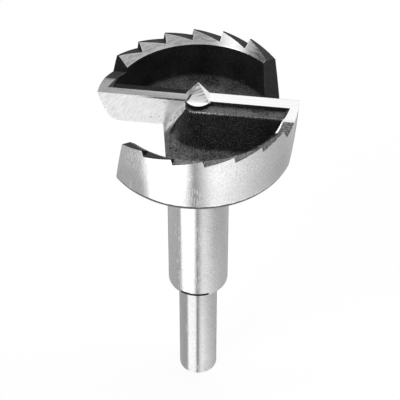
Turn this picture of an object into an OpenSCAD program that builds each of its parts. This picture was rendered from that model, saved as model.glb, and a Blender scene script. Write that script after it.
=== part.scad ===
// Sawtooth boring bit for wood: a shank, a neck and a toothed cup head, all one piece of steel.
// The bit stands on its shank end: the origin is the centre of that end and +Z is the drilling
// direction. It cuts counter-clockwise as seen from the head. Lip A lies along +X and lip B,
// half a turn away, along -X.

/* [Shank and neck] */
// Diameter of the shank, which the chuck grips
shank_d = 10; // [6:0.1:13]
// Length of the shank
shank_len = 34.7; // [20:0.1:60]
// Bevel on the edge of the shank end
shank_bevel = 0.3; // [0.1:0.1:1]
// Diameter of the neck
neck_d = 15.4; // [13.5:0.1:18]
// Length of the neck, up to the back of the head
neck_len = 45.9; // [20:0.1:80]

/* [Head] */
// Cutting diameter, over the tooth tips
cut_d = 48; // [42:0.1:60]
// Height of the head, from its back to the tooth tips
head_h = 17.1; // [14:0.1:22]
// How much narrower than the tips the head's back is, on the diameter
back_less = 1.5; // [0:0.1:4]
// Radius on the back edge of the head
back_edge_r = 2.5; // [0.4:0.1:3.5]
// Thickness of the back plate, which is the floor of both pockets
floor_t = 5.3; // [2.5:0.1:6.5]
// Radius where the pocket wall meets the floor
pocket_r = 1.6; // [0.5:0.1:3]
// Draft of the pocket wall
pocket_draft = 7; // [1:0.5:12]

/* [Rim and teeth] */
// Thickness of the rim just below its ground bevel
rim_t = 2.9; // [2:0.1:4]
// Width of the land left at the tooth tips
tip_land = 0.35; // [0.1:0.05:1]
// Slope of the ground bevel inside the teeth, from the level
bevel_slope = 45; // [30:1:60]
// Number of teeth on each arc of the rim
teeth = 6; // [3:1:6]
// Angle from a lip back to its first tooth tip
first_tooth = 27.5; // [24:0.5:32]
// Angle from each tooth tip to the next
tooth_pitch = 17.5; // [15:0.5:18]
// Depth of the gullets between the teeth
tooth_depth = 1.75; // [1:0.05:2.2]
// Backward lean of the tooth faces
tooth_lean = 12; // [0:1:25]

/* [Lips] */
// How far the lips' cutting edges stay below the tooth tips
lip_drop = 1.1; // [0.5:0.1:2]
// How far each cutting edge lies ahead of the centre line
lip_ahead = 1.6; // [1:0.1:2.5]
// Width of the ground land on top of each lip
lip_land = 2.6; // [2:0.1:3.5]
// Relief of the lands, falling behind the cutting edge
lip_relief = 10; // [5:0.5:14]
// Lean of the lips' front faces, with the cutting edge foremost
lip_rake = 27.5; // [15:0.5:30]
// Drop from the cutting edge to the ledge behind each lip
ledge_drop = 1.7; // [1:0.1:3]
// Depth of the ledge, behind the lip
ledge_w = 2.9; // [1.5:0.1:4]
// Lean of the back of the web that carries the lip
web_lean = 20; // [10:0.5:26]
// Radius where the back of the web meets the floor
web_foot_r = 1.4; // [0.5:0.1:2]
// Distance behind the centre line at which the relief steepens towards the first tooth
gullet_break = 5.1; // [4:0.1:6]
// Distance behind the centre line to the foot of the first tooth
gullet_at = 9.2; // [8:0.1:10]
// Depth of the gullet in front of the first tooth
gullet_depth = 3.5; // [2.5:0.1:4.5]

/* [Throats] */
// Angle from lip A forward to the end of the arc in front of it, at the tips
throat_a = 47; // [40:0.5:56]
// Angle from lip B forward to the end of the arc in front of it, at the tips
throat_b = 51.5; // [40:0.5:56]
// Turn of the arcs' end faces from the lip's direction
throat_turn = 25; // [10:1:45]
// Lean of the arcs' end faces
throat_lean = 15.5; // [8:0.5:22]
// Clearance between the neck and the inner end of each throat
throat_gap = 0.4; // [0.2:0.1:2]
// Turn of the inner end of each throat from square to the lip
inner_turn = 11; // [0:1:20]
// Distance from the axis, at the pocket floor, to the flat that is ground on the hub above each throat
flat_at = 7; // [6:0.1:8]
// Turn of that flat from square to the lip
flat_turn = 8.5; // [0:0.5:20]
// Lean of that flat
flat_lean = 23.5; // [10:0.5:26]

/* [Hub and centre point] */
// Diameter of the hub at the pocket floor
hub_d = 12.4; // [10:0.1:14]
// Diameter of the hub at the ledges
hub_top_d = 8; // [7:0.1:10]
// Diameter of the round boss under the point
boss_d = 6.3; // [5:0.1:7]
// Height of the centre point above the tooth tips
point_h = 3.25; // [2:0.05:5]
// Width of the point where it leaves the boss, along the lips
point_w = 5.8; // [3:0.1:6]
// Thickness of the point where it leaves the boss, across the lips
point_t = 3.2; // [2:0.1:5]

/* [Hidden] */
$fn = 96;
steel = [0.72, 0.72, 0.71];
// Reach of the cuts beyond the head
reach = 3 * cut_d;
// Stock left in front of the lips, at the webs' round ends and round the foot of the point
stock = 0.3;
// How far the feet of the webs are let into the floor
sink = 0.04;
// Straight steps in each rounded corner
arc_steps = 6;

// Heights
neck_z = shank_len;
back_z = neck_z + neck_len;
floor_z = back_z + floor_t;
tip_z = back_z + head_h;
lip_z = tip_z - lip_drop;
ledge_z = lip_z - ledge_drop;
point_z = tip_z + point_h;

// Radii, and the outward taper of the head with its radius at a height
shank_r = shank_d / 2;
neck_r = neck_d / 2;
tip_r = cut_d / 2;
back_r = tip_r - back_less / 2;
head_taper = atan((tip_r - back_r) / head_h);
function head_r(z) = back_r + (z - back_z) * tan(head_taper);

// Bevel inside the teeth: it falls inward until the rim has its full thickness
bevel_drop = (rim_t - tip_land) / (1 / tan(bevel_slope) + tan(head_taper));
bevel_z = tip_z - bevel_drop;
bevel_r = head_r(bevel_z) - rim_t;
// Pocket wall at the floor
pocket_foot_r = bevel_r - (bevel_z - floor_z) * tan(pocket_draft);

// Lip section seen along the lip: y is ahead, and the land falls behind the cutting edge
lip_back = lip_ahead - lip_land;
lip_stock = lip_ahead + stock;
ledge_front = lip_back - ledge_w;
function relief_z(y) = lip_z - (lip_ahead - y) * tan(lip_relief);
function web_y(z) = ledge_front - (ledge_z - z) * tan(web_lean);
boss_z = relief_z(lip_back);
// Axis of the round end of the web
web_end_y = lip_back;

// First tooth's tip behind the centre line, and the foot of its face
first_tip_y = tip_r * sin(first_tooth);
gullet_z = tip_z - gullet_depth;
gullet_lean = atan((first_tip_y - gullet_at) / gullet_depth);

// Run from a gullet's foot to the tooth tips on both sides of it
face_run = tooth_depth * tan(tooth_lean);
back_run = tip_r * sin(tooth_pitch) - face_run;

// Distance from the axis to the inner end of the throats
inner_at = neck_r + throat_gap;

// Point at a radius, an angle and a height
function polar(r, angle, z) = [r * cos(angle), r * sin(angle), z];

// Outline points that round the corner between a level line at height z and a wall that leans
// outward by lean and meets the line at wall_r: an arc of radius r that touches both lines
function rounded_corner(wall_r, z, lean, r) =
    let (centre = [wall_r + r * (tan(lean) - 1 / cos(lean)), z + r])
    [for (k = [0 : arc_steps]) let (turn = k / arc_steps * (90 - lean)) centre + r * [sin(turn), -cos(turn)]];

// The same points from the last to the first
function reversed(points) = [for (k = [len(points) - 1 : -1 : 0]) points[k]];

// Half of space behind the plane y = 0, after the plane leans by lean and turns by turn about Z
module half_space(at, turn, lean) {
    translate(at) rotate([0, 0, turn]) rotate([lean, 0, 0])
        translate([-reach / 2, -reach, -reach / 2]) cube(reach);
}

// Both halves of what repeats at lip A and lip B
module both() {
    for (turn = [0, 180]) rotate([0, 0, turn]) children();
}

// Prism along X over a section in y and z, from one x to another
module along_x(from, to, section) {
    translate([from, 0, 0]) rotate([90, 0, 90]) linear_extrude(to - from) polygon(section);
}

// Turned shape: shank, neck, back plate and the rim before its teeth are cut
module turned_body() {
    rotate_extrude() polygon([
        [0, 0], [shank_r - shank_bevel, 0], [shank_r, shank_bevel], [shank_r, neck_z],
        [neck_r, neck_z], [neck_r, back_z],
        each rounded_corner(back_r, back_z, head_taper, back_edge_r),
        [tip_r, tip_z], [tip_r - tip_land, tip_z], [bevel_r, bevel_z],
        each reversed(rounded_corner(pocket_foot_r, floor_z, pocket_draft, pocket_r)),
        [0, floor_z]
    ]);
}

// Gullet of a sawtooth: a triangle twice as deep as the teeth, so that it clears their tips
module gullet() {
    foot_z = tip_z - tooth_depth;
    top_z = tip_z + tooth_depth;
    along_x(bevel_r - rim_t, tip_r + rim_t, [
        [face_run, foot_z], [face_run + 2 * back_run, top_z], [-face_run, top_z]
    ]);
}

// Back of the last tooth, which falls all the way to the end of the arc
module last_back() {
    top_z = tip_z + tooth_depth;
    end_z = tip_z - 2 * tooth_depth;
    along_x(bevel_r - rim_t, tip_r + rim_t, [
        [face_run + 2 * back_run, top_z], [face_run - back_run, end_z], [face_run - back_run, top_z]
    ]);
}

// Gullets of lip A's arc, behind its first tooth
module arc_gullets() {
    for (k = [1 : teeth - 1])
        rotate([0, 0, -first_tooth - k * tooth_pitch]) gullet();
    rotate([0, 0, -first_tooth - teeth * tooth_pitch]) last_back();
}

// Turned shape with the teeth cut
module toothed_body() {
    difference() {
        turned_body();
        both() arc_gullets();
    }
}

// Outline of the web's back in y and z, down from the ledge and round the foot to the floor
function web_back(foot_z) = [
    [ledge_front, ledge_z],
    each reversed(rounded_corner(web_y(foot_z), foot_z, web_lean, web_foot_r))
];

// Web behind lip A with the ledge on top, from a round end at the hub out to the rim
module web() {
    foot_z = floor_z - sink;
    base = floor_z - floor_t / 4;
    back = web_back(foot_z);
    foot_y = back[len(back) - 1][0];
    along_x(0, tip_r, [[lip_stock, base], [lip_stock, ledge_z], each back, [foot_y, base]]);
    translate([0, web_end_y, 0])
        rotate_extrude() polygon([
            [0, base], [0, ledge_z],
            each [for (corner = back) [web_end_y - corner[0] - stock, corner[1]]],
            [web_end_y - foot_y - stock, base]
        ]);
}

// Lip A as a bar on its web, before it is ground
module lip_bar() {
    base = ledge_z - ledge_drop;
    along_x(0, tip_r, [[lip_ahead, base], [lip_ahead, tip_z], [lip_back, tip_z], [lip_back, base]]);
}

// Hub between the webs, a cone that rises from the floor to the ledges
module hub() {
    base = floor_z - floor_t / 2;
    rise = ledge_z - floor_z;
    spread = (hub_d - hub_top_d) / 2 / rise;
    translate([0, 0, base])
        cylinder(h = ledge_z - base, r1 = hub_d / 2 + spread * floor_t / 2, r2 = hub_top_d / 2);
}

// Webs, lips and hub inside the rim
module inner_body() {
    intersection() {
        translate([0, 0, back_z])
            cylinder(h = head_h, r1 = back_r - rim_t / 2, r2 = tip_r - rim_t / 2);
        union() {
            both() web();
            both() lip_bar();
            hub();
        }
    }
}

// Grinding cut over lip A: it leaves the land, and runs on over the rim to the first tooth's foot
module lip_grind() {
    top_z = tip_z + head_h;
    front_y = lip_ahead + rim_t;
    along_x(0, tip_r + rim_t, [
        [front_y, relief_z(front_y)], [-gullet_break, relief_z(-gullet_break)], [-gullet_at, gullet_z],
        [-gullet_at - (top_z - gullet_z) * tan(gullet_lean), top_z], [front_y, top_z]
    ]);
}

// Cut in front of lip A, between its front face, the end of an arc at end_angle and an inner end
// that lies at a distance and a height, turned and leaning
module throat_cut(end_angle, inner, height, turn, lean) {
    intersection() {
        half_space([0, lip_ahead, lip_z], 180, lip_rake);
        half_space(polar(inner, turn, height), 90 + turn, -lean);
        half_space(polar(tip_r, end_angle, tip_z), throat_turn, -throat_lean);
    }
}

// Throat in front of lip A: an upright cut right through the back plate, and the flat on the hub
module throat(end_angle) {
    throat_cut(end_angle, inner_at, back_z, inner_turn, 0);
    throat_cut(end_angle, flat_at, floor_z, flat_turn, flat_lean);
}

// Centre point: four flat facets on a round boss
module centre_point() {
    translate([0, 0, ledge_z - ledge_drop]) cylinder(h = boss_z - ledge_z + ledge_drop, d = boss_d);
    base = boss_z - stock;
    grow = (point_z - base) / (point_z - boss_z);
    intersection() {
        along_x(-boss_d, boss_d, [[-grow * point_t / 2, base], [grow * point_t / 2, base], [0, point_z]]);
        rotate([0, 0, 90])
            along_x(-boss_d, boss_d, [[-grow * point_w / 2, base], [grow * point_w / 2, base], [0, point_z]]);
        translate([0, 0, base]) cylinder(h = point_z, d = boss_d + stock);
    }
}

module bit() {
    color(steel) union() {
        difference() {
            union() {
                toothed_body();
                inner_body();
            }
            both() lip_grind();
            throat(throat_a);
            rotate([0, 0, 180]) throat(throat_b);
        }
        centre_point();
    }
}

bit();
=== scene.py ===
import math

import bmesh
import bpy
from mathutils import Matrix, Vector


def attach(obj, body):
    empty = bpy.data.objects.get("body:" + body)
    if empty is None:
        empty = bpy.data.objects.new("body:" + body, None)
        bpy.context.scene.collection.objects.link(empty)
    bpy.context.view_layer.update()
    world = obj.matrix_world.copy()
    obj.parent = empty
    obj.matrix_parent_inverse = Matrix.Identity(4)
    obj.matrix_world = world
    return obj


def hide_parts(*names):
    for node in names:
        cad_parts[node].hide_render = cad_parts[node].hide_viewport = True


MM = 0.001

# Heights and radii of the part that the finishes depend on, in millimetres
NECK_Z = 34.7
NECK_R = 7.7
BACK_Z = 80.6
BACK_R = 23.25
BACK_EDGE_R = 2.5
LEDGE_Z = 94.9
LEDGE_FRONT = 3.9
BEVEL_Z = 94.5
RIM_R = 20.0
WALL_R = 21.0
GULLET_EDGE_R = 21.1
LIP_Z = 96.6
TIP_R = 24.0
TIP_Z = 97.7
BOSS_R = 3.4
BOSS_Z = 96.14
# The head widens from its back to the tooth tips
HEAD_TAPER = math.atan((TIP_R - BACK_R) / (TIP_Z - BACK_Z))
# The bevel is ground from the first tooth's foot on, so far behind the lip's centre line,
# and wherever it is nearer the middle than this
FIRST_FOOT = 9.0
GROUND_SIDE = 18.0
# The near arc has painted shade to the left of here
DARK_END_X = -6.0
# The middle of the gullet behind its lip's centre line, and half of its length
GULLET_BEHIND = 6.2
GULLET_HALF = 1.9
# Centre of the wheel that ground the lips' front faces: beyond the axis, and its height
WHEEL_SIDE = 20.0
WHEEL_Z = 74.0
# The painted highlight line down the hub's flat lies STRIP_LEAN * z - STRIP_START ahead of the lip's centre
# line
STRIP_LEAN = 0.454
STRIP_START = 42.30
# The edge of the flank on a facet of the point lies FLANK_LEAN * z - FLANK_START across
FLANK_LEAN = 0.588
FLANK_START = 59.02

# Parts of the normals that tell the hub's flats, the arcs' ends, the lands and the bevel apart
FLAT_NX = 0.907
FLAT_NZ = 0.399
END_NX = 0.407
END_NZ = 0.267
LAND_NY = 0.174
LAND_NZ = 0.985
BEVEL_NZ = 0.707

# Corners closer than this are one, faces that turn less are joined, and edges that turn more are sharp
MERGE = 0.001 * MM
JOIN_TURN = math.radians(0.5)
SHARP_TURN = math.radians(25)

# Painted shade: the shank's colour is darker than the neck's, for its darker reflections. Painted dark lines
# are very dark, and so are pits and the painted shadow under lip B's edge
SHANK_SHADE = 0.74
PAINTED_DARK = 0.01
PITS_AND_SHADOW_DARK = 0.05

# Camera, fitted to the outlines in the photograph
VIEW_AZIMUTH = 7.5
VIEW_ELEVATION = 44.55
VIEW_DISTANCE = 413.8 * MM
VIEW_TARGET = Vector((0, 0, 62.12 * MM))
LENS = 148.2
SENSOR = 36
SHIFT_X = 0.0046

# Grey levels of the tent by azimuth from the camera's side: far and less far below the horizon, and above it
TENT_BELOW_FAR = (
    (-178, 0.5), (-140, 0.5), (-95, 0.48), (-67, 0.49), (-64, 1.5), (-18, 1.4), (-6, 0.31),
    (0, 0.48), (17, 1.3), (32, 1.4), (50, 1.19), (100, 0.79), (150, 0.5),
)
TENT_BELOW_NEAR = (
    (-178, 0.5), (-140, 0.46), (-95, 0.43), (-70, 0.41), (-67, 1.3), (-17, 1.3), (-4, 0.3),
    (10, 0.52), (22, 0.54), (66, 0.3), (100, 0.37), (150, 0.5),
)
TENT_ABOVE = (
    (-178, 0.4), (-120, 0.3), (-85, 0.1), (-60, 0.12), (-20, 0.38), (5, 0.42),
    (45, 0.55), (95, 0.48), (150, 0.4),
)
# Straight down the tent is this pale
TENT_FOOT = 0.95
# Round cards in the tent: azimuth, elevation, degrees from the middle to the core's and the rim's end, level
TENT_CARDS = (
    (VIEW_AZIMUTH - 45.5, 39, 7, 19, 1.75),
    (137, -14, 14, 26, 1.1),
    (VIEW_AZIMUTH + 180, -46, 7, 16, 0.03),
    (167, -19, 7, 15, 0.1),
)
# Even light on matt surfaces
MATT_LIGHT = 0.32

FLOOR_SIZE = 4
FLOOR_GREY = 0.86
# Share of the floor that is plain white to the camera. The rest takes the bit's shadow
FLOOR_GLOW = 0.93

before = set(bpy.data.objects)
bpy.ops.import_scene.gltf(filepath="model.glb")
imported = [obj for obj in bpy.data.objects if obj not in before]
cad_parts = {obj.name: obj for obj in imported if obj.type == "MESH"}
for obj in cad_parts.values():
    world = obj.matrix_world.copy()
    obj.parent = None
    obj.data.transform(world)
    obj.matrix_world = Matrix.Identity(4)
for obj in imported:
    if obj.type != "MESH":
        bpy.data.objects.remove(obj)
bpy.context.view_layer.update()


def direction(azimuth, elevation):
    """Unit vector towards an azimuth, counted from the front to the right, and an elevation."""
    a = math.radians(azimuth)
    e = math.radians(elevation)
    return Vector((math.sin(a) * math.cos(e), -math.cos(a) * math.cos(e), math.sin(e)))


def link_to_scene(thing):
    bpy.context.scene.collection.objects.link(thing)
    return thing


def aim(thing, away):
    """Turns a camera or a lamp so that it looks against the vector away."""
    thing.rotation_mode = "QUATERNION"
    thing.rotation_quaternion = (-away).to_track_quat("-Z", "Y")


def make_camera():
    data = bpy.data.cameras.new("camera")
    data.lens = LENS
    data.sensor_width = SENSOR
    data.shift_x = SHIFT_X
    data.clip_start = 0.01
    data.clip_end = 10
    camera = link_to_scene(bpy.data.objects.new("camera", data))
    back = direction(VIEW_AZIMUTH, VIEW_ELEVATION)
    camera.location = VIEW_TARGET + back * VIEW_DISTANCE
    aim(camera, back)
    bpy.context.scene.camera = camera


make_camera()


# Shader building blocks


class Shader:
    """A node tree with short calls for the nodes that the materials share."""

    def __init__(self, tree):
        self.tree = tree

    def node(self, kind, **settings):
        made = self.tree.nodes.new(kind)
        for name, value in settings.items():
            setattr(made, name, value)
        return made

    def feed(self, socket, value):
        """Links an output socket, or sets a plain value."""
        if isinstance(value, bpy.types.NodeSocket):
            self.tree.links.new(value, socket)
        else:
            socket.default_value = value

    def math(self, operation, a, b=0.0, c=0.0, clamp=False):
        made = self.node("ShaderNodeMath", operation=operation, use_clamp=clamp)
        for socket, value in zip(made.inputs, (a, b, c)):
            self.feed(socket, value)
        return made.outputs[0]

    def times(self, first, *others):
        """Product of two or more values."""
        for value in others:
            first = self.math("MULTIPLY", first, value)
        return first

    def summed(self, base, *terms):
        """The base plus each term's value times its factor."""
        for value, factor in terms:
            base = self.math("MULTIPLY_ADD", value, factor, base)
        return base

    def hypot(self, a, b):
        """Length of a vector with two parts."""
        return self.math("SQRT", self.math("ADD", self.times(a, a), self.times(b, b)))

    def position(self):
        return self.node("ShaderNodeTexCoord").outputs["Object"]

    def parts(self, vector):
        made = self.node("ShaderNodeSeparateXYZ")
        self.feed(made.inputs[0], vector)
        return made.outputs

    def joined(self, x, y, z):
        made = self.node("ShaderNodeCombineXYZ")
        for socket, value in zip(made.inputs, (x, y, z)):
            self.feed(socket, value)
        return made.outputs[0]

    def mapped(self, vector, scale, turn=(0, 0, 0)):
        made = self.node("ShaderNodeMapping")
        self.feed(made.inputs["Vector"], vector)
        made.inputs["Scale"].default_value = scale
        made.inputs["Rotation"].default_value = [math.radians(t) for t in turn]
        return made.outputs[0]

    def noise(self, vector, scale=1.0, detail=3.0, roughness=0.5):
        """Cloudy values about 0.5, at a scale in waves per metre where the vector is a place."""
        made = self.node("ShaderNodeTexNoise")
        self.feed(made.inputs["Vector"], vector)
        made.inputs["Scale"].default_value = scale
        made.inputs["Detail"].default_value = detail
        made.inputs["Roughness"].default_value = roughness
        return made.outputs["Fac"]

    def spots(self, vector, scale):
        """Distance to the nearest of scattered points."""
        made = self.node("ShaderNodeTexVoronoi")
        self.feed(made.inputs["Vector"], vector)
        made.inputs["Scale"].default_value = scale
        return made.outputs["Distance"]

    def ranged(self, value, low, high, to_low=0.0, to_high=1.0):
        """A value carried smoothly from one range to another, and held at the ends."""
        made = self.node("ShaderNodeMapRange", interpolation_type="SMOOTHSTEP")
        for socket, v in zip(made.inputs, (value, low, high, to_low, to_high)):
            self.feed(socket, v)
        return made.outputs[0]

    def ranged_mm(self, value, low, high, to_low=0.0, to_high=1.0):
        """The same for a length, with low and high in millimetres."""
        return self.ranged(value, low * MM, high * MM, to_low, to_high)

    def ramp(self, value, stops):
        """Grey levels along a value from 0 to 1."""
        made = self.node("ShaderNodeValToRGB")
        self.feed(made.inputs[0], value)
        elements = made.color_ramp.elements
        while len(elements) < len(stops):
            elements.new(0.5)
        for element, (at, level) in zip(elements, stops):
            element.position = at
            element.color = (level, level, level, 1)
        return made.outputs[0]

    def blend(self, share, a, b):
        """Grey a where share is 0 and b where it is 1."""
        made = self.node("ShaderNodeMix", data_type="FLOAT")
        self.feed(made.inputs[0], share)
        self.feed(made.inputs[2], a)
        self.feed(made.inputs[3], b)
        return made.outputs[0]

    def rounded(self, radius):
        """Normal with the edges rounded off by a small radius."""
        made = self.node("ShaderNodeBevel", samples=6)
        made.inputs["Radius"].default_value = radius
        return made.outputs[0]

    def edges(self, soft_normal, start=0.98, full=0.86):
        """1 along the edges, where the rounded normal leaves the true one, and 0 elsewhere."""
        made = self.node("ShaderNodeVectorMath", operation="DOT_PRODUCT")
        self.feed(made.inputs[0], soft_normal)
        self.feed(made.inputs[1], self.node("ShaderNodeNewGeometry").outputs["True Normal"])
        return self.ranged(made.outputs["Value"], start, full)

    def bump(self, height, strength, distance, normal):
        made = self.node("ShaderNodeBump")
        made.inputs["Strength"].default_value = strength
        made.inputs["Distance"].default_value = distance
        self.feed(made.inputs["Height"], height)
        self.feed(made.inputs["Normal"], normal)
        return made.outputs[0]

    def ahead(self, place):
        """Distance ahead of the nearer lip's centre line: lip A cuts to +Y and lip B to -Y."""
        x, y, _ = self.parts(place)
        return self.times(y, self.math("SIGN", x))

    def past_line(self, across, z, lean, start):
        """How far across is past a leaning line, which is at lean * z - start in millimetres."""
        return self.math("ADD", self.summed(across, (z, -lean)), start * MM)


# Shader inputs whose names are more than one word
SOCKETS = {"specular_level": "Specular IOR Level", "turn": "Anisotropic Rotation"}


class Finish(Shader):
    """A material with one principled shader, whose look is set by name."""

    def __init__(self, name):
        self.material = bpy.data.materials.new(name)
        self.material.use_nodes = True
        super().__init__(self.material.node_tree)
        self.shader = self.tree.nodes["Principled BSDF"]

    def set(self, **values):
        for name, value in values.items():
            self.feed(self.shader.inputs[SOCKETS.get(name, name.capitalize())], value)

    def grey(self, level):
        """Base colour from one level, or from a value that varies."""
        if isinstance(level, bpy.types.NodeSocket):
            made = self.node("ShaderNodeCombineColor")
            for socket in made.inputs:
                self.feed(socket, level)
            self.feed(self.shader.inputs["Base Color"], made.outputs[0])
        else:
            self.shader.inputs["Base Color"].default_value = (level, level, level, 1)


# Turned steel: the shank, the neck and the outside of the head


def collar_line(f, place):
    """Painted shade: a dark line along the collar's lower edge, only on the side that the camera faces."""
    _, y, z = f.parts(place)
    ragged = f.summed(z, (f.noise(place, 900, 2.0), 0.6 * MM))
    low = f.ranged_mm(ragged, NECK_Z + 0.92, NECK_Z + 1.12, 1.0, 0.0)
    above = f.ranged_mm(z, NECK_Z - 0.02, NECK_Z)
    front = f.ranged_mm(y, -6.6, -6.9)
    return f.times(low, above, front)


def back_line(f, place):
    """Painted dark reflection: a dark line on the rounded back edge of the head."""
    z = f.parts(place)[2]
    ragged = f.summed(z, (f.noise(place, 700, 3.0), 0.5 * MM))
    low = f.ranged_mm(ragged, BACK_Z + 2.1, BACK_Z + 2.5, 1.0, 0.0)
    return f.times(low, f.ranged_mm(z, BACK_Z - 0.2, BACK_Z + 0.2))


def hair_scratches(f, place, turn, least):
    """Sparse fine scratches in one direction."""
    streak = f.noise(f.mapped(place, (5200, 5200, 330), turn), detail=0.0)
    patches = f.ranged(f.noise(place, 120, 1.0), 0.45, 0.62)
    return f.times(f.ranged(streak, least, least + 0.06), patches)


def turned_level(f, place, cloud):
    """Grey level of turned steel, with painted shade that darkens the shank and the neck towards its foot,
    and painted light that brightens the head's wall towards the teeth.
    """
    z = f.parts(place)[2]
    grain = f.ranged(f.noise(place, 2300, 2.0, 0.6), 0.32, 0.68)
    level = f.summed(0.79, (grain, 0.15), (cloud, 0.08))
    # Painted shade and light by height: darker down the neck and on the shank, brighter up the head's wall
    neck = f.ranged_mm(z, 0, BACK_Z, 0.75, 1.0)
    stem = f.ranged_mm(z, NECK_Z - 0.5, NECK_Z, SHANK_SHADE, neck)
    head = f.ranged_mm(z, BACK_Z + 4, LIP_Z - 1, 0.87, 1.06)
    return f.times(level, f.ranged_mm(z, BACK_Z, BACK_Z + 0.5, stem, head))


def turned_finish():
    """Bright turned steel: fine rings round the axis, soft wear, hair scratches, and painted dark lines
    along the collar's and the head's lower edges.
    """
    f = Finish("turned_steel")
    place = f.position()
    rings = f.noise(f.mapped(place, (60, 60, 9000)), detail=4.0, roughness=0.7)
    cloud = f.noise(place, 260, 3.0)
    one_way = hair_scratches(f, place, (20, 52, 20), 0.66)
    other_way = hair_scratches(f, place, (-35, -28, 0), 0.68)
    hair = f.math("MAXIMUM", one_way, other_way)
    # Painted shade and dark reflection: the dark lines at the collar and at the head's back edge
    painted_dark_lines = f.math("MAXIMUM", collar_line(f, place), f.times(back_line(f, place), 0.95))
    f.grey(f.blend(painted_dark_lines, turned_level(f, place, cloud), PAINTED_DARK))
    f.set(metallic=1.0, anisotropic=0.8, turn=0.25)
    smooth = f.summed(0.07, (rings, 0.05), (cloud, 0.1))
    f.set(roughness=f.blend(f.times(hair, 0.3), smooth, 0.4))
    tangent = f.node("ShaderNodeTangent", direction_type="RADIAL", axis="Z")
    f.feed(f.shader.inputs["Tangent"], tangent.outputs[0])
    dents = f.bump(f.noise(place, 1300, 3.0), 1.0, 0.006 * MM, f.rounded(0.12 * MM))
    scratched = f.bump(hair, 0.6, 0.02 * MM, dents)
    f.feed(f.shader.inputs["Normal"], f.bump(rings, 0.12, 0.02 * MM, scratched))
    return f.material


# Lines that a grinding wheel leaves


def wheel_arcs(f, place):
    """Arcs about a wheel centre below the lip and beyond the axis, as on the lips' front faces."""
    x, _, z = f.parts(place)
    side = f.math("ADD", f.math("ABSOLUTE", x), WHEEL_SIDE * MM)
    height = f.math("SUBTRACT", z, WHEEL_Z * MM)
    wobble = f.noise(place, 300, 2.0)
    run = f.summed(f.hypot(side, height), (wobble, 0.2 * MM))
    waves = f.joined(f.times(run, 2900), 0.0, f.times(height, 260))
    return f.ranged(f.noise(waves, detail=3.0, roughness=0.65), 0.34, 0.66)


def along_lip(f, place):
    """Streaks that run along the lips."""
    return f.noise(f.mapped(place, (90, 2600, 900)), detail=3.0, roughness=0.6)


def round_rim(f, place):
    """Short streaks round the axis."""
    x, y, _ = f.parts(place)
    turn = f.math("ARCTAN2", y, x)
    waves = f.joined(f.times(f.hypot(x, y), 2600), f.times(turn, 9), 0.0)
    return f.ranged(f.noise(waves, detail=3.0, roughness=0.6), 0.32, 0.68)


def level_steps(f, place):
    """Slanting ridges, as the wheel leaves on the point's facets, and a brighter foot."""
    x, _, z = f.parts(place)
    run = f.summed(z, (x, -0.4))
    waves = f.joined(f.times(run, 1700), f.times(x, 150), 0.0)
    ridges = f.noise(waves, detail=1.0, roughness=0.5)
    brighter_foot = f.ranged_mm(z, LIP_Z + 0.4, LIP_Z + 1.8, 0.1, -0.02)
    return f.ranged(f.math("ADD", ridges, brighter_foot), 0.36, 0.56)


# Ground steel: the lips, the lands, the bevel, the point and the hub's flats


def burr_shadow(f, place):
    """1 under the turned-over cutting edge of lip B near the hub, and 0 elsewhere."""
    x, _, z = f.parts(place)
    ragged = f.summed(z, (f.noise(place, 1100, 2.0), 0.7 * MM))
    under = f.ranged_mm(ragged, LIP_Z - 0.7, LIP_Z - 0.5)
    by_hub = f.times(f.ranged_mm(x, -15, -9), f.ranged_mm(x, -2, -1, 1.0, 0.0))
    return f.times(under, by_hub)


def rake_marks(f, place, shade):
    """A lip's front face with its few pits, and a painted shadow under lip B's edge."""
    some = f.ranged(f.noise(place, 230, 1.0), 0.5, 0.56, 0.0, 0.75)
    pits = f.ranged(f.spots(place, 420), 0.1, 0.15, some, 0.0)
    return f.blend(f.math("MAXIMUM", pits, burr_shadow(f, place)), shade, PITS_AND_SHADOW_DARK)


def point_marks(f, place, shade):
    """A facet of the point with painted shade on its flank, standing in for a facet that the mesh lacks, and
    painted shade in a crease at the flank's foot.
    """
    x, y, z = f.parts(place)
    across = f.times(x, f.math("SIGN", f.times(y, -1.0)))
    past = f.past_line(across, z, FLANK_LEAN, FLANK_START)
    # Painted shade on the flank
    shade = f.blend(f.ranged_mm(past, -0.12, 0.02, 1.0, 0.0), shade, 0.48)
    # Painted shade in the crease at the flank's foot
    crease = f.ranged_mm(f.math("ABSOLUTE", past), 0.14, 0.3, 1.0, 0.0)
    foot = f.ranged_mm(z, LIP_Z + 1.0, LIP_Z + 1.5, 1.0, 0.0)
    return f.blend(f.times(crease, foot), shade, PAINTED_DARK)


def painted_edge_highlights(f, place, shade):
    """A face with painted highlights in places along its edges."""
    places = f.ranged(f.noise(place, 500, 2.0), 0.36, 0.56, 0.2, 0.8)
    edge = f.edges(f.rounded(0.8 * MM), 0.993, 0.95)
    return f.summed(shade, (edge, places))


def ground_finish(name, level, rough, marks, contrast=0.24, depth=0.25, metal=1.0, extra=None):
    """Steel straight off the grinding wheel.

    marks gives the value that the wheel's lines follow, and extra adds what else is on the face.
    """
    f = Finish(name)
    place = f.position()
    lines = marks(f, place)
    cloud = f.noise(place, 420, 4.0, 0.6)
    grain = f.noise(place, 3000, 2.0, 0.6)
    shade = f.summed(level - 0.11 - contrast / 2, (grain, 0.1), (cloud, 0.12), (lines, contrast))
    if extra:
        shade = extra(f, place, shade)
    f.grey(shade)
    f.set(metallic=metal)
    f.set(roughness=f.summed(rough - 0.12, (lines, 0.1), (cloud, 0.14)))
    f.feed(f.shader.inputs["Normal"], f.bump(lines, depth, 0.03 * MM, f.rounded(0.1 * MM)))
    return f.material


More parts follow.
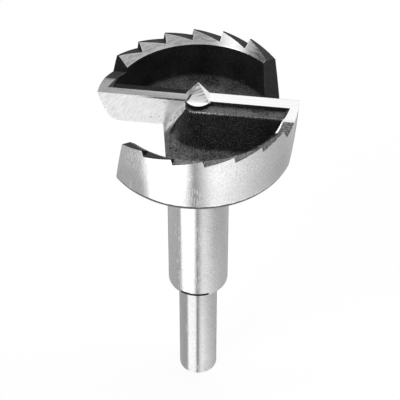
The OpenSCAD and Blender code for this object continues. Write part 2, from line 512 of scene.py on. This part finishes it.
def flat_finish():
    """The hub's ground flat: grooved by the lip, then a painted highlight line and a pale strip, and scale
    beyond.
    """
    f = Finish("flat_ground")
    place = f.position()
    z = f.parts(place)[2]
    grain = f.noise(place, 2600, 3.0, 0.6)
    smear = f.noise(place, 500, 3.0, 0.6)
    streak = f.noise(f.mapped(place, (1500, 1100, 160)), detail=3.0, roughness=0.6)
    past = f.past_line(f.ahead(place), z, STRIP_LEAN, STRIP_START)
    on_strip = f.ranged_mm(past, 0, 0.6, 0.0, 0.14)
    pale = f.summed(0.26, (grain, 0.4), (wheel_arcs(f, place), 0.36))
    # Painted highlight: a near-white line along the strip's edge
    line = f.ranged_mm(f.math("ABSOLUTE", past), 0.12, 0.45, 1.0, 0.0)
    line = f.times(line, f.ranged_mm(z, BACK_Z + 5, BACK_Z + 8, 0.0, 0.9))
    pale = f.blend(line, f.math("ADD", pale, on_strip), 0.98)
    dark = f.ranged(streak, 0.35, 0.7, 0.03, 0.2)
    far = f.ranged_mm(f.summed(past, (smear, 1.6 * MM)), 3.6, 5.0)
    specks = f.ranged(f.noise(place, 1500, 2.0), 0.6, 0.7, 0.0, 0.6)
    streaks = f.times(f.ranged(streak, 0.52, 0.72, 0.0, 7.0), on_strip)
    scaled = f.math("MAXIMUM", far, f.math("MAXIMUM", specks, streaks))
    f.grey(f.blend(scaled, pale, dark))
    f.set(roughness=0.55)
    f.set(metallic=f.summed(0.3, (far, -0.3)))
    f.feed(f.shader.inputs["Normal"], f.bump(grain, 0.4, 0.06 * MM, f.rounded(0.2 * MM)))
    return f.material


# Dark scale, with painted light and shade in places: the pockets, the ledges, the arcs' ends and the backs
# of the teeth


def ledge_highlight(f, place):
    """1 along the front edge of the ledge behind lip A, most by the hub, and 0 elsewhere: a painted
    highlight.
    """
    x, y, z = f.parts(place)
    out = f.math("ADD", y, LEDGE_FRONT * MM)
    up = f.math("SUBTRACT", z, LEDGE_Z * MM)
    on_edge = f.ranged_mm(f.hypot(out, up), 0.12, 0.4, 1.0, 0.0)
    by_hub = f.times(f.ranged_mm(x, -4, -3), f.ranged_mm(x, 3, 9, 1.0, 0.25))
    return f.times(on_edge, by_hub)


def gullet_highlight(f, place):
    """1 along the inner edge of the gullet behind lip A, and 0 elsewhere: a painted highlight."""
    x, y, _ = f.parts(place)
    across = f.math("ABSOLUTE", f.math("SUBTRACT", f.hypot(x, y), GULLET_EDGE_R * MM))
    inside = f.ranged_mm(across, 0.15, 0.32, 1.0, 0.0)
    along = f.math("ABSOLUTE", f.math("ADD", f.ahead(place), GULLET_BEHIND * MM))
    by_lip = f.ranged_mm(along, GULLET_HALF, GULLET_HALF + 0.3, 1.0, 0.0)
    on_lip_a = f.ranged_mm(x, 17, 17.5)
    return f.times(inside, f.times(by_lip, on_lip_a))


def painted_light_by_hub(f, place, share):
    """Painted light low down in the pockets by the hub."""
    x, y, z = f.parts(place)
    inner = f.times(x, f.math("SIGN", y))
    off_axis = f.ranged_mm(f.math("ABSOLUTE", y), 1, 3, 0.0, share)
    by_hub = f.ranged_mm(inner, 3.2, 5, 0.0, off_axis)
    within = f.ranged_mm(f.hypot(x, y), 8, 11, 1.0, 0.0)
    height = f.ranged_mm(z, BACK_Z + 5.8, BACK_Z + 8.0, 1.0, 0.15)
    return f.times(by_hub, within, height)


def scale_level(f, place, fine, low, high, painted_up_light, hub_light):
    """Grey level of the scale's grain, with painted light that makes it paler on level faces and low down by
    the hub.
    """
    _, y, z = f.parts(place)
    broad = f.noise(place, 180, 3.0)
    grain = f.ranged(f.summed(f.times(fine, 0.7), (broad, 0.3)), 0.38, 0.62)
    # Painted light on faces that face up, more on the near side and at the ledges' height
    tilt = f.parts(f.node("ShaderNodeNewGeometry").outputs["Normal"])[2]
    level_share = f.ranged(tilt, 0.4, 1.0, 0.0, f.ranged_mm(y, -8, -3, 1.3, 1.0))
    up_light = f.ranged_mm(z, LEDGE_Z - 1, LEDGE_Z, painted_up_light, painted_up_light * 1.15)
    top = f.math("ADD", f.summed(high, (level_share, up_light)), painted_light_by_hub(f, place, hub_light))
    return f.summed(low, (grain, f.math("SUBTRACT", top, low)))


def scale_wear_and_highlights(f, place, fine, worn, metal):
    """What rubbing adds, chips along the edges, and painted highlights on the edges of one ledge and one
    gullet.
    """
    chips = f.ranged(f.noise(place, 1300, 3.0, 0.6), 0.46, 0.6, 0.0, worn)
    edge = f.math("MAXIMUM", f.edges(f.rounded(0.22 * MM)), metal * 0.1)
    bare = f.ranged(fine, 0.42, 0.6, 0.0, 0.5)
    return f.summed(f.times(edge, chips), (ledge_highlight(f, place), bare), (gullet_highlight(f, place), 0.7))


def scale_finish(name, low, high, spark, worn=0.2, metal=0.0, painted_up_light=0.0, hub_light=0.0):
    """Dark heat-treatment scale: a fine grain with pale sparks, rubbed paler along the edges, with painted
    highlights on the edges of one ledge and one gullet.

    upward sets painted light on level faces, and hub_light painted light low down by the hub.
    """
    f = Finish(name)
    place = f.position()
    x, y, _ = f.parts(place)
    fine = f.noise(place, 3300, 3.0, 0.6)
    level = scale_level(f, place, fine, low, high, painted_up_light, hub_light)
    near_hub = f.ranged_mm(f.hypot(x, y), 15, 18, 1.0, 0.1)
    sparks = f.ranged(f.noise(place, 4600, 1.0), 0.5, 0.76, 0.0, f.times(near_hub, spark))
    wear_and_highlights = scale_wear_and_highlights(f, place, fine, worn, metal)
    f.grey(f.math("ADD", level, f.math("ADD", sparks, wear_and_highlights)))
    f.set(specular_level=0.2, metallic=0.0)
    if metal:
        f.set(metallic=f.math("MULTIPLY_ADD", wear_and_highlights, -metal, metal, clamp=True))
    f.set(roughness=f.summed(0.38, (fine, 0.3)))
    f.feed(f.shader.inputs["Normal"], f.bump(fine, 0.5, 0.1 * MM, f.rounded(0.16 * MM)))
    return f.material


# The bit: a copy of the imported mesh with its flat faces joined, and a finish on each of its surfaces


def near(value, wanted, slack=0.04):
    return abs(value - wanted) < slack


def point_finish_of(centre, normal):
    """Name of the finish on a face of the centre point or of the boss under it."""
    # Painted highlight: the boss's top is a pale non-metal ground finish
    if normal.z > 0.9:
        return "boss"
    if abs(normal.z) < 0.2:
        # Painted shadow: the boss's side wall below BOSS_Z is very dark scale, and above it takes painted
        # light
        return "shadowed" if centre.z < BOSS_Z else "point_lit_side"
    if abs(normal.x) < 0.5:
        return "point"
    # Painted light and shade: the two sides are pale and dark copies of one ground finish, by the side they
    # face
    return "point_shaded_side" if normal.x < 0 else "point_lit_side"


def finish_of(centre, normal):
    """Name of the finish on a face, from its centre in millimetres and its normal."""
    radius = math.hypot(centre.x, centre.y)
    outward = (centre.x * normal.x + centre.y * normal.y) / max(radius, 1e-6)
    behind = -centre.y if centre.x > 0 else centre.y
    if centre.z < BACK_Z + 0.01 or normal.z < -0.6:
        return "turned"
    if radius > WALL_R and outward > 0.6:
        return "turned"
    if normal.z < -0.3:
        return "rake"
    if near(normal.z, FLAT_NZ) and near(abs(normal.x), FLAT_NX):
        return "flat"
    if near(normal.z, END_NZ) and near(abs(normal.x), END_NX):
        return "end"
    if radius < BOSS_R and centre.z > LEDGE_Z + 0.05:
        return point_finish_of(centre, normal)
    if near(normal.z, LAND_NZ, 0.01) and near(abs(normal.y), LAND_NY, 0.02):
        return "land"
    # Painted shade: the near arc's left end takes darker finishes than the rest of its bevel and teeth
    dark_end = centre.x < DARK_END_X and centre.y < 0
    if centre.z > BEVEL_Z and outward < -0.6 and near(normal.z, BEVEL_NZ, 0.06):
        ground = behind > FIRST_FOOT or abs(centre.x) < GROUND_SIDE
        return "bevel" if ground and not dark_end else "scale"
    if centre.z > BEVEL_Z - 3 and radius > RIM_R and normal.z > 0.9:
        if normal.z > 0.99:
            return "land"
        # Painted shade: tooth tops on the far arc and at the near arc's left end take the darker finish of
        # the arcs' ends
        return "end" if dark_end or centre.y > 0 else "tooth"
    # Painted shadow: lip B's ledge is very dark scale
    if normal.z > 0.9 and centre.z > LEDGE_Z - 1 and centre.x < 0:
        return "shadowed"
    return "scale"


def turned_normal(point, normal):
    """True normal of the turned surface at a corner of one of its faces, in millimetres, or zero."""
    outward = Vector((point.x, point.y, 0)).normalized()
    radius = math.hypot(point.x, point.y)
    if abs(normal.z) > 0.9:
        return Vector((0, 0, math.copysign(1, normal.z)))
    if radius < NECK_R + 0.1:
        return outward if abs(normal.z) < 0.1 else Vector((0, 0, 0))
    centre_r = BACK_R + BACK_EDGE_R * (math.tan(HEAD_TAPER) - 1 / math.cos(HEAD_TAPER))
    centre_z = BACK_Z + BACK_EDGE_R
    if point.z > centre_z - BACK_EDGE_R * math.sin(HEAD_TAPER):
        return outward * math.cos(HEAD_TAPER) - Vector((0, 0, math.sin(HEAD_TAPER)))
    return (outward * (radius - centre_r) + Vector((0, 0, point.z - centre_z))).normalized()


def bevel_normal(point):
    """True normal of the ground bevel inside the teeth."""
    inward = -Vector((point.x, point.y, 0)).normalized()
    return (inward + Vector((0, 0, 1))).normalized()


def corner_normals(mesh, names):
    """Normals for all face corners: exact on turned and bevelled faces, and left alone elsewhere."""
    found = []
    for face in mesh.polygons:
        name = names[face.material_index]
        for corner in face.vertices:
            point = mesh.vertices[corner].co / MM
            if name == "turned":
                found.append(turned_normal(point, face.normal))
            elif name == "bevel":
                found.append(bevel_normal(point))
            else:
                found.append(Vector((0, 0, 0)))
    return found


def make_finishes():
    """A material for each name that finish_of gives."""
    return {
        "turned": turned_finish(),
        "rake": ground_finish("rake_ground", 0.89, 0.42, wheel_arcs, depth=0.14, extra=rake_marks),
        "flat": flat_finish(),
        "land": ground_finish("land_ground", 0.99, 0.26, along_lip),
        "bevel": ground_finish("bevel_ground", 0.76, 0.26, round_rim, 0.34, 0.12, extra=painted_edge_highlights),
        "point": ground_finish("point_front", 0.72, 0.4, level_steps, 0.78, 0.6, 0.3, point_marks),
        "point_lit_side": ground_finish("point_side_painted_light", 0.98, 0.5, level_steps, 0.1, 0.2, 0.0),
        "point_shaded_side": ground_finish("point_side_painted_shade", 0.52, 0.5, level_steps, 0.3, 0.3, 0.3),
        "boss": ground_finish("boss_painted_highlight", 0.94, 0.5, round_rim, 0.1, 0.1, 0.0),
        "tooth": scale_finish("tooth_scale", 0.1, 0.36, 0.35, worn=0.7, metal=0.9),
        "end": scale_finish("end_and_shaded_tooth_scale", 0.02, 0.04, 0.02),
        "shadowed": scale_finish("painted_shadow_scale", 0.002, 0.01, 0.02, worn=0.05),
        "scale": scale_finish("pocket_scale", 0.002, 0.02, 0.09, worn=0.03, painted_up_light=0.09, hub_light=0.1),
    }


def join_and_sort_faces(mesh, names):
    """Joins flat faces, gives each face the number of its finish, and marks the sharp edges."""
    bm = bmesh.new()
    bm.from_mesh(mesh)
    bmesh.ops.remove_doubles(bm, verts=bm.verts, dist=MERGE)
    bmesh.ops.dissolve_limit(bm, angle_limit=JOIN_TURN, verts=bm.verts, edges=bm.edges)
    bm.normal_update()
    for face in bm.faces:
        face.material_index = names.index(finish_of(face.calc_center_median() / MM, face.normal))
        face.smooth = True
    for edge in bm.edges:
        edge.smooth = edge.calc_face_angle(0) < SHARP_TURN
    bm.to_mesh(mesh)
    bm.free()


def make_bit():
    finishes = make_finishes()
    names = list(finishes)
    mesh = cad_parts["bit"].data.copy()
    mesh.name = "bit_steel"
    mesh.materials.clear()
    for name in names:
        mesh.materials.append(finishes[name])
    join_and_sort_faces(mesh, names)
    mesh.normals_split_custom_set(corner_normals(mesh, names))
    piece = link_to_scene(bpy.data.objects.new("bit_steel", mesh))
    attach(piece, "root")
    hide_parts("bit")


make_bit()


# Studio


def make_floor():
    """Pale floor that reads as white and keeps the bit's shadow. Polished steel looks past it."""
    bpy.ops.mesh.primitive_plane_add(size=FLOOR_SIZE)
    floor = bpy.context.object
    floor.name = "floor"
    f = Finish("floor_white")
    f.grey(FLOOR_GREY)
    f.set(roughness=0.9)
    glow = f.node("ShaderNodeEmission")
    glow.inputs["Strength"].default_value = 1.0
    mix = f.node("ShaderNodeMixShader")
    camera_ray = f.node("ShaderNodeLightPath").outputs["Is Camera Ray"]
    f.feed(mix.inputs[0], f.times(camera_ray, FLOOR_GLOW))
    f.feed(mix.inputs[1], f.shader.outputs[0])
    f.feed(mix.inputs[2], glow.outputs[0])
    f.feed(f.tree.nodes["Material Output"].inputs["Surface"], mix.outputs[0])
    floor.data.materials.append(f.material)
    floor.visible_glossy = False


def around(stops):
    """Ramp stops from pairs of azimuth, counted from the camera's side, and grey level."""
    turned = [((a + VIEW_AZIMUTH + 180) / 360, level) for a, level in stops]
    first = turned[0][1]
    return [(0.0, first)] + [(at, level) for at, level in turned if 0 < at < 1] + [(1.0, first)]


def with_card(w, tent, ray, azimuth, elevation, core, rim, level):
    """The tent with a round soft card: full up to core degrees from its middle, gone at rim degrees."""
    facing = w.summed(0.0, *zip(ray, direction(azimuth, elevation)))
    share = w.ranged(facing, math.cos(math.radians(rim)), math.cos(math.radians(core)))
    return w.blend(share, tent, level)


def make_tent(w, ray):
    """Grey level of the tent by the direction of a ray."""
    x, y, z = ray
    turn = w.summed(0.5, (w.math("ARCTAN2", x, w.times(y, -1.0)), 0.5 / math.pi))
    below_near = w.ramp(turn, around(TENT_BELOW_NEAR))
    below_far = w.ramp(turn, around(TENT_BELOW_FAR))
    below = w.blend(w.ranged(z, -0.715, -0.758), below_near, below_far)
    above_side = w.ramp(turn, around(TENT_ABOVE))
    above_back = w.times(w.ranged(z, 0.22, 0.72, 0.1, 1.05), w.ranged(x, -0.75, -0.5, 0.3, 1.0))
    above = w.blend(w.ranged(y, 0.15, 0.45), above_side, above_back)
    tent = w.blend(w.ranged(z, -0.3, 0.0), below, above)
    tent = w.blend(w.ranged(z, -0.86, -0.95), tent, TENT_FOOT)
    for card in TENT_CARDS:
        tent = with_card(w, tent, ray, *card)
    return tent


def make_world():
    """White for the camera and an even light on matt surfaces. Shiny steel sees the tent."""
    world = bpy.data.worlds.new("studio")
    bpy.context.scene.world = world
    world.use_nodes = True
    w = Shader(world.node_tree)
    ray = tuple(w.parts(w.node("ShaderNodeTexCoord").outputs["Generated"]))
    path = w.node("ShaderNodeLightPath")
    shiny = w.math("ADD", path.outputs["Is Glossy Ray"], path.outputs["Is Transmission Ray"], clamp=True)
    plain = w.blend(path.outputs["Is Camera Ray"], MATT_LIGHT, 1.0)
    background = w.tree.nodes["Background"]
    w.feed(background.inputs["Strength"], w.blend(shiny, plain, make_tent(w, ray)))
    background.inputs["Color"].default_value = (1, 1, 1, 1)


def softbox(name, azimuth, elevation, distance, size, power):
    """A lamp that shines on the head and isn't seen in reflections."""
    data = bpy.data.lights.new(name, "AREA")
    data.shape = "RECTANGLE"
    data.size, data.size_y = size
    data.energy = power
    lamp = link_to_scene(bpy.data.objects.new(name, data))
    away = direction(azimuth, elevation)
    lamp.location = Vector((0, 0, BACK_Z * MM)) + away * distance
    aim(lamp, away)
    lamp.visible_glossy = False


make_floor()
make_world()
softbox("key", VIEW_AZIMUTH - 46, 40, distance=0.6, size=(0.25, 0.35), power=1.6)
softbox("fill", 115, 35, distance=0.6, size=(0.3, 0.3), power=1.0)
softbox("top", 180, 66, distance=0.7, size=(0.6, 0.4), power=3.2)

bpy.context.scene.view_settings.view_transform = "Standard"
